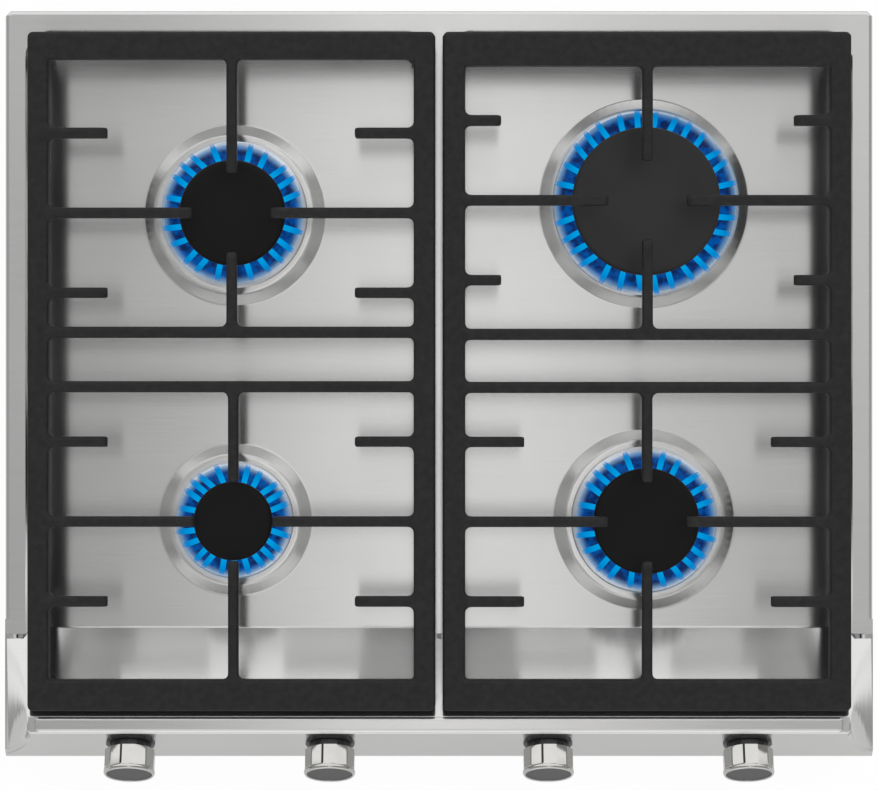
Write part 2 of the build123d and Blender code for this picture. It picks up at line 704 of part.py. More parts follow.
def knob_bezels():
    """Black rosettes on the panel, each with a neck that the knob's shell slides over."""
    bore_r, neck_r, height = NECK
    flange_r, flange = BEZEL
    with BuildPart() as bezels:
        for name in KNOB_X:
            with BuildSketch(knob_plane(name)):
                RegularPolygon(flange_r, HIDDEN_ROUND)
            extrude(amount=flange)
            with BuildSketch(knob_plane(name)):
                RegularPolygon(neck_r, HIDDEN_ROUND)
            extrude(amount=height)
            with BuildSketch(knob_plane(name)):
                RegularPolygon(bore_r, SMALL_ROUND)
            extrude(amount=height, mode=Mode.SUBTRACT)
    save(bezels.part, "knob_bezels")


def knob_shell(name):
    """Plated shell of a knob: twelve flats, a round hollow and one groove as the pointer."""
    deep, wide = POINTER
    with BuildPart() as shell:
        with BuildSketch(knob_plane(name, KNOB_BACK)):
            RegularPolygon(KNOB_R, KNOB_SIDES, rotation=POINTER_ANGLE)
            RegularPolygon(FACE_R, HIDDEN_ROUND, mode=Mode.SUBTRACT)
            with PolarLocations(KNOB_R, 1, start_angle=POINTER_ANGLE):
                Rectangle(2 * deep, wide, mode=Mode.SUBTRACT)
        extrude(amount=KNOB_FRONT - KNOB_BACK)
    save(shell.part, f"knob_shell_{name}")


def flatted(radius, flat):
    """A D-shaped section: a many-sided round with one side cut off at the flat."""
    with BuildSketch() as section:
        RegularPolygon(radius, SMALL_ROUND, rotation=15)
        with Locations((0, flat + radius / 2)):
            Rectangle(3 * radius, radius, mode=Mode.SUBTRACT)
    return section.sketch


def knob_insert(name):
    """Dark front plate of a knob with the hub behind it, which takes the stem's D-shaped end."""
    hub_r, hub_back = HUB
    with BuildPart() as insert:
        with BuildSketch(knob_plane(name, FACE[0])):
            RegularPolygon(FACE_R, HIDDEN_ROUND)
        extrude(amount=FACE[1] - FACE[0])
        with BuildSketch(knob_plane(name, hub_back)):
            RegularPolygon(hub_r, SMALL_ROUND)
        extrude(amount=FACE[0] - hub_back)
        with BuildSketch(knob_plane(name, hub_back)):
            add(flatted(STEM_R, STEM_FLAT))
        extrude(amount=STEM_END[1] - hub_back, mode=Mode.SUBTRACT)
    save(insert.part, f"knob_insert_{name}")


# ---- Gas taps ------------------------------------------------------------------------


def valve_stem(name):
    """Stem with a D-shaped end for the knob and a blade that turns the plug."""
    across, thick, long = BLADE
    with BuildPart() as stem:
        with BuildSketch(knob_plane(name, STEM_END[0])):
            RegularPolygon(STEM_R, SMALL_ROUND, rotation=15)
        extrude(amount=HUB[1] - STEM_END[0])
        with BuildSketch(knob_plane(name, HUB[1])):
            add(flatted(STEM_R, STEM_FLAT))
        extrude(amount=STEM_END[1] - HUB[1])
        with BuildSketch(knob_plane(name, STEM_END[0])):
            Rectangle(across, thick)
        extrude(amount=-long)
    save(stem.part, f"valve_stem_{name}")


def valve_plug(name):
    """Taper plug that turns in the tap, with a slot for the stem's blade and a round tail."""
    across, wide, deep = PLUG_SLOT
    with BuildPart() as plug:
        long = PLUG_END[0] - PLUG_END[1]
        with BuildSketch(knob_plane(name, PLUG_END[1])):
            RegularPolygon(PLUG_R[1], HIDDEN_ROUND)
        extrude(amount=long, taper=draft(PLUG_R[1], PLUG_R[0], long, HIDDEN_ROUND))
        tail_r, tail_length = PLUG_TAIL
        with BuildSketch(knob_plane(name, PLUG_END[1])):
            Circle(tail_r)
        extrude(amount=-tail_length)
        with BuildSketch(knob_plane(name, PLUG_END[0])):
            Rectangle(across, wide)
        extrude(amount=-deep, mode=Mode.SUBTRACT)
    save(plug.part, f"valve_plug_{name}")


def gas_valve_bodies():
    """Cast tap bodies: a block on the manifold, a nose through the panel, a taper chamber."""
    width, height, front, back = TAP
    with BuildPart() as bodies:
        for name, x in KNOB_X.items():
            side = cup_side(name)
            with BuildSketch(knob_plane(name, front)):
                with Locations((-side * (TAP_OUTLET - width / 4) / 2, 0)):
                    Rectangle(width + TAP_OUTLET - width / 4, height)
            extrude(amount=back - front)
            with BuildSketch(knob_plane(name, front)):
                RegularPolygon(TAP_NOSE_R, HIDDEN_ROUND)
            extrude(amount=-front)
            with BuildSketch(Plane(origin=(x, MANIFOLD_Y, MANIFOLD_Z + MANIFOLD / 2))):
                Rectangle(SPIGOT, SPIGOT)
            extrude(amount=SPIGOT_TOP_Z - MANIFOLD_Z - MANIFOLD / 2)
            with BuildSketch(knob_plane(name, CHAMBER_FRONT)):
                RegularPolygon(STEM_BORE_R, SMALL_ROUND)
            extrude(amount=-CHAMBER_FRONT, mode=Mode.SUBTRACT)
            wide_r, narrow_r = plug_r(back, PLUG_GAP), plug_r(CHAMBER_FRONT, PLUG_GAP)
            long = CHAMBER_FRONT - back
            with BuildSketch(knob_plane(name, back)):
                RegularPolygon(wide_r, HIDDEN_ROUND)
            slope = draft(wide_r, narrow_r, long, HIDDEN_ROUND)
            extrude(amount=long, taper=slope, mode=Mode.SUBTRACT)
    save(bodies.part, "gas_valve_bodies")


# ---- Gas pipes -----------------------------------------------------------------------


def gas_manifold():
    """Square steel tube behind the panel that carries the taps, with two lugs on the box."""
    inner_front = BOX_Y[0] + SHEET
    face = MANIFOLD_Y - MANIFOLD / 2
    with BuildPart() as manifold:
        with Locations(((MANIFOLD_X[0] + MANIFOLD_X[1]) / 2, MANIFOLD_Y, MANIFOLD_Z)):
            Box(MANIFOLD_X[1] - MANIFOLD_X[0], MANIFOLD, MANIFOLD)
        for x in LUG_X:
            with Locations((x, (inner_front + face) / 2, MANIFOLD_Z)):
                Box(MANIFOLD, face - inner_front, MANIFOLD / 2)
    save(manifold.part, "gas_manifold")


def gas_supply_pipe():
    """Straight pipe from the rear inlet to the manifold's end."""
    rear = BOX_Y[1] - SHEET - INLET_BLOCK[1]
    front = MANIFOLD_Y + MANIFOLD / 2
    with BuildPart() as pipe:
        with BuildSketch(Plane(origin=(INLET_X, front, MANIFOLD_Z), x_dir=(1, 0, 0), z_dir=(0, 1, 0))):
            RegularPolygon(PIPE_R, TUBE_SIDES)
        extrude(amount=rear - front)
    save(pipe.part, "gas_supply_pipe")


def gas_inlet():
    """Inlet block inside the box's rear wall, with a shoulder and a male nipple out through it."""
    size, thick = INLET_BLOCK
    wall = BOX_Y[1] - SHEET
    with BuildPart() as inlet:
        with Locations((INLET_X, wall - thick / 2, MANIFOLD_Z)):
            Box(size, thick, size)
        outlet = Plane(origin=(INLET_X, wall, MANIFOLD_Z), x_dir=(1, 0, 0), z_dir=(0, 1, 0))
        with BuildSketch(outlet):
            RegularPolygon(INLET_SHOULDER_R, HIDDEN_ROUND)
        extrude(amount=SHEET)
        with BuildSketch(outlet.offset(SHEET)):
            Circle(INLET_R)
        extrude(amount=INLET_LENGTH)
        with BuildSketch(outlet.offset(SHEET + INLET_LENGTH)):
            RegularPolygon(INLET_BORE_R, SMALL_ROUND)
        extrude(amount=-INLET_LENGTH, mode=Mode.SUBTRACT)
    save(inlet.part, "gas_inlet")


def feed_route(name):
    """A feed tube's corners: down from its tap, back along the box, then sideways to the cup."""
    x, y, *_ = BURNERS[name]
    side = cup_side(name)
    run = KNOB_X[name] - side * TAP_OUTLET
    back = TAP[3]
    start = knob_plane(name, back).origin + Vector(run - KNOB_X[name], 0, 0)
    level = start.Y + (start.Z - GAS_Z) / tan(PANEL_LEAN)
    return [
        (run, start.Y, start.Z),
        (run, level, GAS_Z),
        (run, y - TUBE_BEND, GAS_Z),
        (run - side * TUBE_BEND, y, GAS_Z),
        (x + side * (CUP_BOSS_R - SOCKET_DEPTH), y, GAS_Z),
    ]


def gas_feed_tubes():
    """Aluminium tubes from the taps to the sockets in the burner cups."""
    with BuildPart() as tubes:
        for name in BURNERS:
            with BuildLine() as route:
                Polyline(*feed_route(name))
            with BuildSketch(knob_plane(name, TAP[3]).shift_origin(route.line @ 0)):
                RegularPolygon(TUBE_R, TUBE_SIDES)
            sweep(path=route.line, transition=Transition.RIGHT)
    save(tubes.part, "gas_feed_tubes")


os.makedirs("parts", exist_ok=True)
hob_top()
worktop_seal()
burner_box()
box_screws()
clamp_brackets()
clamp_screws()
burner_cups()
injector_jets()
for burner in BURNERS:
    burner_head(burner)
    burner_cap(burner)
for grate_side in GRATES:
    grate(grate_side)
    grate_feet(grate_side)
knob_bezels()
for tap in KNOB_X:
    knob_shell(tap)
    knob_insert(tap)
    valve_stem(tap)
    valve_plug(tap)
gas_valve_bodies()
gas_manifold()
gas_supply_pipe()
gas_inlet()
gas_feed_tubes()
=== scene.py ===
import math

import bmesh
import bpy
from mathutils import Matrix, Vector, noise


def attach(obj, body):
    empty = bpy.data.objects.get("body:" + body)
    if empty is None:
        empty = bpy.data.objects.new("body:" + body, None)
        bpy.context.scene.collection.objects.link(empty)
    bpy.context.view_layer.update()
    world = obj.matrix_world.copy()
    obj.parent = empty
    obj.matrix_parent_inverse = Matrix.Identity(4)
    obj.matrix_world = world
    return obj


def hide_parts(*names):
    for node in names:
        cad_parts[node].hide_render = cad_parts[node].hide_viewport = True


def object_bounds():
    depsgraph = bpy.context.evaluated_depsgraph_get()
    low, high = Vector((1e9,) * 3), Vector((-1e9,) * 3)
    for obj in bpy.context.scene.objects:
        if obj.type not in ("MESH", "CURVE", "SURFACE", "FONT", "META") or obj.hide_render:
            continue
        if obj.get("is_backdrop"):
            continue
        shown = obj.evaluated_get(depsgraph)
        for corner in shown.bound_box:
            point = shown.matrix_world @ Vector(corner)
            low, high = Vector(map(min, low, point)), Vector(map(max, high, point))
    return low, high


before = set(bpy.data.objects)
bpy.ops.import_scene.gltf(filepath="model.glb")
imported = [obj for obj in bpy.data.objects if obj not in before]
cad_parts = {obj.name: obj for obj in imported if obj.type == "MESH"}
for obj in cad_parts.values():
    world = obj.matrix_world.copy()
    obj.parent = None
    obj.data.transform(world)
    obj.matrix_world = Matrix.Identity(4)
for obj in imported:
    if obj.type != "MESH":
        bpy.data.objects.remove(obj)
cad_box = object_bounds()

# ---- The photographer's view and light -------------------------------------------------
# The cooktop was photographed from two metres straight above its middle with a long
# lens, on white, under a soft ceiling. Flat steel mirrors the part of it close to the
# zenith, which is brightest over the middle and grows darker towards both sides.

eye = bpy.data.cameras.new("eye")
eye.lens = 118.6
eye.clip_end = 30
camera = bpy.data.objects.new("eye", eye)
camera.location = (0, -0.0077, 2.0065)
bpy.context.scene.collection.objects.link(camera)
bpy.context.scene.camera = camera
bpy.context.scene.view_settings.view_transform = "Standard"


class Wire:
    """A socket in a tree of shader nodes. Sums and products of it add Math nodes."""

    def __init__(self, tree, socket=None):
        self.tree = tree
        self.socket = socket

    def node(self, kind, settings=None, inputs=None, output=0):
        """Add a node, give it its settings, then the values or wires of its sockets."""
        made = self.tree.nodes.new(kind)
        for name, value in (settings or {}).items():
            setattr(made, name, value)
        for name, value in (inputs or {}).items():
            socket = made.inputs[name]
            if isinstance(value, Wire):
                self.tree.links.new(value.socket, socket)
            else:
                socket.default_value = value
        return Wire(self.tree, made.outputs[output] if made.outputs else None)

    def maths(self, operation, first, second=None):
        inputs = {0: first} if second is None else {0: first, 1: second}
        return self.node("ShaderNodeMath", {"operation": operation}, inputs)

    def __add__(self, other):
        return self.maths("ADD", self, other)

    def __radd__(self, other):
        return self.maths("ADD", other, self)

    def __sub__(self, other):
        return self.maths("SUBTRACT", self, other)

    def __rsub__(self, other):
        return self.maths("SUBTRACT", other, self)

    def __mul__(self, other):
        return self.maths("MULTIPLY", self, other)

    def __abs__(self):
        return self.maths("ABSOLUTE", self)

    def band(self, low, high, from_value=0.0, to_value=1.0):
        """Smoothly from one value at low to the other at high."""
        sockets = {
            "Value": self,
            "From Min": low,
            "From Max": high,
            "To Min": from_value,
            "To Max": to_value,
        }
        return self.node("ShaderNodeMapRange", {"interpolation_type": "SMOOTHSTEP"}, sockets)

    def mixed(self, first, second):
        """The first colour where this is 0 and the second where it is 1."""
        sockets = {"Factor": self, 6: first, 7: second}
        return self.node("ShaderNodeMix", {"data_type": "RGBA"}, sockets, output=2)


def grey(value):
    """A neutral colour of this brightness."""
    return (value, value, value, 1.0)


# the soft ceiling: metal mirrors it, brighter to the rear and front than at the sides
studio = bpy.data.worlds.new("studio")
studio.use_nodes = True
studio.node_tree.nodes.clear()
bpy.context.scene.world = studio
sky = Wire(studio.node_tree)
toward = sky.node("ShaderNodeTexCoord", output="Generated")
across = sky.node("ShaderNodeSeparateXYZ", inputs={"Vector": toward}, output="X")
along = sky.node("ShaderNodeSeparateXYZ", inputs={"Vector": toward}, output="Y")
streaks = sky.node("ShaderNodeMapping", inputs={"Vector": toward, "Scale": (1.0, 0.3, 1.0)})
cloud = sky.node(
    "ShaderNodeTexNoise",
    inputs={"Vector": streaks, "Scale": 26.0, "Detail": 2.0, "Roughness": 0.5},
)
# what the flat steel mirrors lies near the zenith, and is brightest in the middle
near = abs(across).band(0.2, 0.4, 1.0, 0.0) * abs(along).band(0.16, 0.34, 1.0, 0.0)
overhead = abs(across - 0.004).band(0.0, 0.122, 1.02, 0.0)
rear_right = across.band(0.04, 0.11) * along.band(-0.02, 0.05, 0.0, 0.40)
side_rims = abs(across).band(0.130, 0.148) * along.band(-0.10, 0.08, 0.02, 0.16)
rear_rim = along.band(0.105, 0.122) * abs(across).band(0.0, 0.10, 0.06, 0.56)
rear_rim = rear_rim - along.band(0.07, 0.095, 0.0, 0.14)
zenith = near * (overhead + rear_right + side_rims + rear_rim)
# what the slopes mirror lies lower: the ramp and rings to the rear, the bead to the front
front = (0.0 - along).band(0.30, 0.56, 0.0, 0.62) + (0.0 - along).band(0.85, 0.97, 0.0, 0.50)
rear = along.band(0.30, 0.50, 0.0, 0.90) - along.band(0.80, 0.88, 0.0, 0.25)
rear = rear + along.band(0.90, 0.97, 0.0, 0.50)
brightness = 0.47 + zenith + front + rear + (cloud - 0.5) * 0.30
seen = sky.node("ShaderNodeLightPath", output="Is Camera Ray")
channels = {"Red": brightness, "Green": brightness, "Blue": brightness}
colour = seen.mixed(sky.node("ShaderNodeCombineColor", inputs=channels), grey(1.0))
backdrop = sky.node("ShaderNodeBackground", inputs={"Color": colour})
sky.node("ShaderNodeOutputWorld", inputs={"Surface": backdrop})

for name, place, size, watts in (
    ("main_light", (0.95, 0.55, 2.1), 1.1, 15.0),
    ("fill_light", (-1.2, -0.6, 2.0), 1.4, 6.0),
):
    lamp = bpy.data.lights.new(name, "AREA")
    lamp.size = size
    lamp.energy = watts
    lit = bpy.data.objects.new(name, lamp)
    lit.location = place
    lit.rotation_euler = Vector(place).to_track_quat("Z", "Y").to_euler()
    lit.visible_glossy = False
    bpy.context.scene.collection.objects.link(lit)


def finish(name):
    """A new material without nodes, and a wire to add them from."""
    material = bpy.data.materials.new(name)
    material.use_nodes = True
    material.node_tree.nodes.clear()
    return material, Wire(material.node_tree)


paper, wire = finish("white_paper")
seen = wire.node("ShaderNodeLightPath", output="Is Camera Ray")
mirrored = wire.node("ShaderNodeLightPath", output="Is Glossy Ray")
shade = wire.node("ShaderNodeBsdfDiffuse", inputs={"Color": grey(0.86)})
paleness = seen.mixed(grey(0.80), grey(1.0))
white = wire.node("ShaderNodeEmission", inputs={"Color": paleness, "Strength": 1.0})
glow = seen * 0.95 + mirrored * 0.60
surface = wire.node("ShaderNodeMixShader", inputs={0: glow, 1: shade, 2: white})
wire.node("ShaderNodeOutputMaterial", inputs={"Surface": surface})

FLOOR_HALF = 6.0
floor_place = Matrix.Translation((0, 0, cad_box[0].z - 0.0002))
shape = bmesh.new()
bmesh.ops.create_grid(shape, x_segments=1, y_segments=1, size=FLOOR_HALF, matrix=floor_place)
mesh = bpy.data.meshes.new("floor")
shape.to_mesh(mesh)
shape.free()
mesh.materials.append(paper)
floor = bpy.data.objects.new("floor", mesh)
bpy.context.scene.collection.objects.link(floor)
floor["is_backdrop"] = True

# ---- The box, its fixings and the foam seal -----------------------------------------------
# A box folded from galvanised sheet hangs in the worktop's cut-out. Hooked plates of the
# same sheet clamp it from below with plated screws, and a strip of closed-cell foam seals
# the rim of the top against the worktop.


def object_place(wire, scale=(1.0, 1.0, 1.0)):
    """Where a point of the piece is, stretched for a pattern that runs along its grain."""
    place = wire.node("ShaderNodeTexCoord", output="Object")
    return wire.node("ShaderNodeMapping", inputs={"Vector": place, "Scale": scale})


def speckle(wire, scale, detail=2.0, stretch=(1.0, 1.0, 1.0), roughness=0.5):
    """Noise from 0 to 1 with this many grains to the metre."""
    sockets = {
        "Vector": object_place(wire, stretch),
        "Scale": scale,
        "Detail": detail,
        "Roughness": roughness,
    }
    return wire.node("ShaderNodeTexNoise", inputs=sockets)


def relief(wire, height, depth, strength=1.0):
    """A normal from a pattern of this depth in metres."""
    sockets = {"Height": height, "Distance": depth, "Strength": strength}
    return wire.node("ShaderNodeBump", inputs=sockets)


def coat(wire, sockets):
    """Close a material with its Principled shader."""
    shader = wire.node("ShaderNodeBsdfPrincipled", inputs=sockets)
    wire.node("ShaderNodeOutputMaterial", inputs={"Surface": shader})


def dress(material, *nodes):
    """Give CAD nodes their finish."""
    for node in nodes:
        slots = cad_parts[node].data.materials
        slots.clear()
        slots.append(material)


zinc, wire = finish("galvanised_sheet")
spangle = wire.node(
    "ShaderNodeTexVoronoi",
    {"feature": "F1"},
    {"Vector": object_place(wire), "Scale": 90.0},
    output="Color",
)
spangle = wire.node("ShaderNodeSeparateColor", inputs={"Color": spangle}, output=0)
dull = speckle(wire, 25.0)
coat(wire, {
    "Base Color": (spangle * 0.5 + dull * 0.5).mixed((0.42, 0.44, 0.46, 1), (0.56, 0.58, 0.60, 1)),
    "Metallic": 0.9,
    "Roughness": 0.42 + spangle * 0.14,
    "Normal": relief(wire, spangle, 0.00004),
})
dress(zinc, "burner_box", "clamp_brackets")

plating, wire = finish("plated_screws")
tool_marks = speckle(wire, 900.0)
coat(wire, {
    "Base Color": tool_marks.mixed((0.46, 0.46, 0.44, 1), (0.62, 0.61, 0.58, 1)),
    "Metallic": 1.0,
    "Roughness": 0.26 + tool_marks * 0.16,
    "Normal": relief(wire, tool_marks, 0.00003),
})
dress(plating, "box_screws", "clamp_screws")

foam, wire = finish("closed_cell_foam")
cells = wire.node(
    "ShaderNodeTexVoronoi",
    {"feature": "F1"},
    {"Vector": object_place(wire), "Scale": 1400.0},
)
coat(wire, {
    "Base Color": cells.mixed((0.012, 0.012, 0.013, 1), (0.05, 0.05, 0.052, 1)),
    "Roughness": 0.92,
    "Normal": relief(wire, cells, 0.0003),
})
dress(foam, "worktop_seal")

# ---- The gas taps and pipes -----------------------------------------------------------------
# Die-cast taps sit on a black square tube behind the control panel. Each has a turned brass
# plug and a plated stem inside, drawn aluminium tubes lead from them to the burners, and a
# pipe brings the gas from a brass inlet at the rear right.

casting, wire = finish("die_cast_alloy")
skin = speckle(wire, 420.0, 4.0)
stain = speckle(wire, 38.0)
coat(wire, {
    "Base Color": stain.mixed((0.40, 0.40, 0.41, 1), (0.58, 0.58, 0.59, 1)),
    "Metallic": 0.85,
    "Roughness": 0.44 + skin * 0.2,
    "Normal": relief(wire, skin, 0.00012),
})
dress(casting, "gas_valve_bodies")

brass, wire = finish("turned_brass")
turning = speckle(wire, 160.0, stretch=(1.0, 14.0, 1.0))
coat(wire, {
    "Base Color": turning.mixed((0.62, 0.43, 0.17, 1), (0.83, 0.64, 0.30, 1)),
    "Metallic": 1.0,
    "Roughness": 0.22 + turning * 0.14,
    "Normal": relief(wire, turning, 0.00003),
})
plugs = [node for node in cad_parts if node.startswith("valve_plug")]
stems = [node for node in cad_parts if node.startswith("valve_stem")]
dress(brass, "injector_jets", "gas_inlet", *plugs)
dress(plating, *stems)

pipe_paint, wire = finish("black_pipe")
crust = speckle(wire, 260.0, 3.0)
coat(wire, {
    "Base Color": crust.mixed((0.014, 0.014, 0.014, 1), (0.05, 0.048, 0.045, 1)),
    "Metallic": 0.3,
    "Roughness": 0.4 + crust * 0.25,
    "Normal": relief(wire, crust, 0.0001),
})
dress(pipe_paint, "gas_manifold", "gas_supply_pipe")

drawn_tube, wire = finish("drawn_aluminium")
drawing = speckle(wire, 240.0, stretch=(1.0, 0.04, 1.0))
coat(wire, {
    "Base Color": drawing.mixed((0.60, 0.61, 0.62, 1), (0.74, 0.75, 0.76, 1)),
    "Metallic": 1.0,
    "Roughness": 0.3 + drawing * 0.15,
    "Normal": relief(wire, drawing, 0.00003),
})
dress(drawn_tube, "gas_feed_tubes")

# ---- The pressed top ------------------------------------------------------------------------
# One stainless sheet, pressed with two sunken wells, a raised front and a ring round each
# burner, then brushed along its width. The rings are pressed with rounded steps, and their
# cones catch the light at the front and rear.

# centre, radii of the cap, the head's skirt, the pressed ring and the hole, and the ports
BURNERS = {
    "rear_left": (-0.1415, 0.117, 0.0363, 0.0506, 0.0632, 0.030, 24),
    "rear_right": (0.142, 0.125, 0.0508, 0.0636, 0.0730, 0.044, 30),
    "front_left": (-0.141, -0.094, 0.0270, 0.0405, 0.0534, 0.021, 24),
    "front_right": (0.142, -0.094, 0.0363, 0.0506, 0.0632, 0.030, 24),
}
WELL_Z = 0.0015
PLATEAU_Z = 0.0050
CONE = 0.0095
HOLE_EDGE = 0.0009
RING_STEPS = 144
NEARLY = 0.0001
FLAT_ANGLE = math.radians(0.6)
DRAWN_END_X = 0.2800
DRAWN_END_Y = (-0.2360, -0.1640)
BEAD_TOP_Z = 0.0495
BEAD_MIDDLE_Y = -0.2310
BEAD_SLOPE_REAR, BEAD_SLOPE_FRONT = -0.0007, 0.0012

brushed, wire = finish("brushed_stainless")
long_grain = speckle(wire, 1900.0, 3.0, stretch=(0.010, 1.0, 1.0), roughness=0.62)
fine_grain = speckle(wire, 5200.0, 2.0, stretch=(0.02, 1.0, 1.0), roughness=0.6)
smear = speckle(wire, 9.0, 2.0)
grain = long_grain * 0.6 + fine_grain * 0.4
coat(wire, {
    "Base Color": grain.mixed((0.500, 0.498, 0.493, 1), (0.630, 0.627, 0.620, 1)),
    "Metallic": 1.0,
    "Roughness": 0.15 + long_grain * 0.05 + smear * 0.08,
    "Anisotropic": 0.88,
    "Tangent": wire.node("ShaderNodeCombineXYZ", inputs={"Y": 1.0}),
    "Normal": relief(wire, grain, 0.00001, 0.5),
})


def cad_shape(node):
    """A CAD node's mesh with its loose triangles merged."""
    shape = bmesh.new()
    shape.from_mesh(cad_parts[node].data)
    bmesh.ops.remove_doubles(shape, verts=shape.verts, dist=1e-6)
    return shape


def spin(shape, profile, centre=(0.0, 0.0), steps=96):
    """Spin (radius, height) points into a closed round form about an upright axis."""
    ring = [shape.verts.new((centre[0] + radius, centre[1], z)) for radius, z in profile]
    path = [shape.edges.new(pair) for pair in zip(ring, ring[1:])]
    bmesh.ops.spin(
        shape,
        geom=ring + path,
        cent=(*centre, 0.0),
        axis=(0.0, 0.0, 1.0),
        angle=2 * math.pi,
        steps=steps,
        use_merge=True,
    )


def close(shape):
    """Merge what a spin leaves double and turn every face outwards."""
    bmesh.ops.remove_doubles(shape, verts=shape.verts, dist=1e-6)
    bmesh.ops.recalc_face_normals(shape, faces=shape.faces)


def piece(name, shape, material, body, sharp=32.0):
    """Finish a mesh as a piece of the cooktop that rides on a body."""
    mesh = bpy.data.meshes.new(name)
    shape.to_mesh(mesh)
    shape.free()
    mesh.materials.append(material)
    mesh.shade_smooth()
    mesh.set_sharp_from_angle(angle=math.radians(sharp))
    made = bpy.data.objects.new(name, mesh)
    bpy.context.scene.collection.objects.link(made)
    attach(made, body)
    return made


def drawn(spot):
    """Whether a point lies in one of the two ends of the raised front."""
    beside = abs(spot.x) > DRAWN_END_X and DRAWN_END_Y[0] < spot.y < DRAWN_END_Y[1]
    return beside and spot.z > WELL_Z


top = cad_shape("hob_top")
for x, y, _, _, ring_r, _, _ in BURNERS.values():
    centre = Vector((x, y))
    cone = [
        face
        for face in top.faces
        if face.normal.z > 0.05
        and max((vert.co.xy - centre).length for vert in face.verts) < ring_r + NEARLY
        and min(vert.co.z for vert in face.verts) > WELL_Z - 2 * NEARLY
    ]
    bmesh.ops.delete(top, geom=cone, context="FACES")
for x, y, _, _, ring_r, hole_r, _ in BURNERS.values():
    foot, brow = ring_r, ring_r - CONE
    step = [
        (foot + 0.0003, WELL_Z + 0.00001),
        (foot - 0.0004, WELL_Z + 0.00003),
        (foot - 0.0012, WELL_Z + 0.00022),
        (foot - 0.0021, WELL_Z + 0.00062),
        (brow + 0.0024, PLATEAU_Z - 0.00062),
        (brow + 0.0013, PLATEAU_Z - 0.00024),
        (brow + 0.0004, PLATEAU_Z - 0.00005),
        (brow - 0.0006, PLATEAU_Z),
        (hole_r, PLATEAU_Z),
        (hole_r, PLATEAU_Z - HOLE_EDGE),
    ]
    spin(top, step, (x, y), steps=RING_STEPS)
bmesh.ops.remove_doubles(top, verts=top.verts, dist=1e-6)
# the bead's two slopes run out further than its chamfers
for vert in top.verts:
    if vert.co.z > BEAD_TOP_Z - NEARLY:
        vert.co.y += BEAD_SLOPE_REAR if vert.co.y > BEAD_MIDDLE_Y else BEAD_SLOPE_FRONT
# flat steel is one face each, so that its shading stays even up to the bends
bmesh.ops.dissolve_limit(top, angle_limit=FLAT_ANGLE, verts=top.verts, edges=top.edges)
pressed_top = piece("pressed_top", top, brushed, "hob", sharp=28.0)
# the ends of the raised front are drawn into the rim without a crease
for edge in pressed_top.data.edges:
    if all(drawn(pressed_top.data.vertices[number].co) for number in edge.vertices):
        edge.use_edge_sharp = False
even = pressed_top.modifiers.new("even_shading", "WEIGHTED_NORMAL")
even.keep_sharp = True
even.weight = 100
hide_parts("hob_top")

# ---- The burner cups ------------------------------------------------------------------------
# Cast alloy cups hang under the holes of the top, with a brass jet in the bottom of each.

dress(casting, "burner_cups")

# ---- The burner heads -----------------------------------------------------------------------
# Each head is an aluminium casting, turned bright: a wide skirt that lies on the pressed
# ring and a crown with a port for each flame cut through its wall.

HEAD_TOP_Z = 0.0240
FOOT_Z = 0.0105
PORT_LOW_Z = FOOT_Z + 0.0022
PORT_HIGH_Z = HEAD_TOP_Z - 0.0016
WALL_TOP_Z = HEAD_TOP_Z - 0.0002
PORT_DEPTH = 0.0052
CAP_OVERHANG = 0.0010
COLUMNS = 6  # of faces for each port, which takes up two of them

bright, wire = finish("turned_aluminium")
lathe = speckle(wire, 700.0, 2.0)
haze = speckle(wire, 60.0, 2.0)
coat(wire, {
    "Base Color": haze.mixed((0.66, 0.66, 0.67, 1), (0.80, 0.80, 0.81, 1)),
    "Metallic": 1.0,
    "Roughness": 0.27 + haze * 0.10 + lathe * 0.05,
    "Normal": relief(wire, lathe, 0.00001, 0.5),
})

for name, (x, y, cap_r, skirt_r, _, _, ports) in BURNERS.items():
    crown_r = cap_r - CAP_OVERHANG
    head = bmesh.new()
    skirt = [
        (0.0, PLATEAU_Z),
        (skirt_r - 0.0004, PLATEAU_Z),
        (skirt_r, PLATEAU_Z + 0.0004),
        (skirt_r, PLATEAU_Z + 0.0010),
        (skirt_r - 0.0003, PLATEAU_Z + 0.0014),
        (skirt_r - 0.0011, PLATEAU_Z + 0.0018),
        (crown_r + 0.0042, FOOT_Z - 0.0010),
        (crown_r + 0.0018, FOOT_Z - 0.0003),
        (crown_r + 0.0008, FOOT_Z + 0.0002),
        (crown_r, FOOT_Z + 0.0010),
    ]
    spin(head, skirt, (x, y), steps=ports * COLUMNS)
    close(head)
    # the wall stands on the skirt, and each port is pushed in through it
    rim = [edge for edge in head.edges if edge.is_boundary]
    for z in (PORT_LOW_Z, PORT_HIGH_Z, WALL_TOP_Z):
        raised = bmesh.ops.extrude_edge_only(head, edges=rim)["geom"]
        rim = [edge for edge in raised if isinstance(edge, bmesh.types.BMEdge)]
        for vert in {vert for edge in rim for vert in edge.verts}:
            vert.co.z = z
    bmesh.ops.contextual_create(head, geom=rim)
    pitch = 2 * math.pi / ports
    column = pitch / COLUMNS
    mouths = []
    for face in head.faces:
        spot = face.calc_center_median()
        turn = math.atan2(spot.y - y, spot.x - x) % pitch
        if PORT_LOW_Z < spot.z < PORT_HIGH_Z and not column <= turn <= pitch - column:
            mouths.append(face)
    cut = bmesh.ops.extrude_face_region(head, geom=mouths)["geom"]
    bmesh.ops.delete(head, geom=mouths, context="FACES_ONLY")
    for vert in {element for element in cut if isinstance(element, bmesh.types.BMVert)}:
        inward = Vector((x - vert.co.x, y - vert.co.y, 0)).normalized()
        vert.co += inward * PORT_DEPTH
    close(head)
    burner = piece(f"head_form_{name}", head, bright, f"head_{name}", sharp=34.0)
    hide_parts(f"burner_head_{name}")

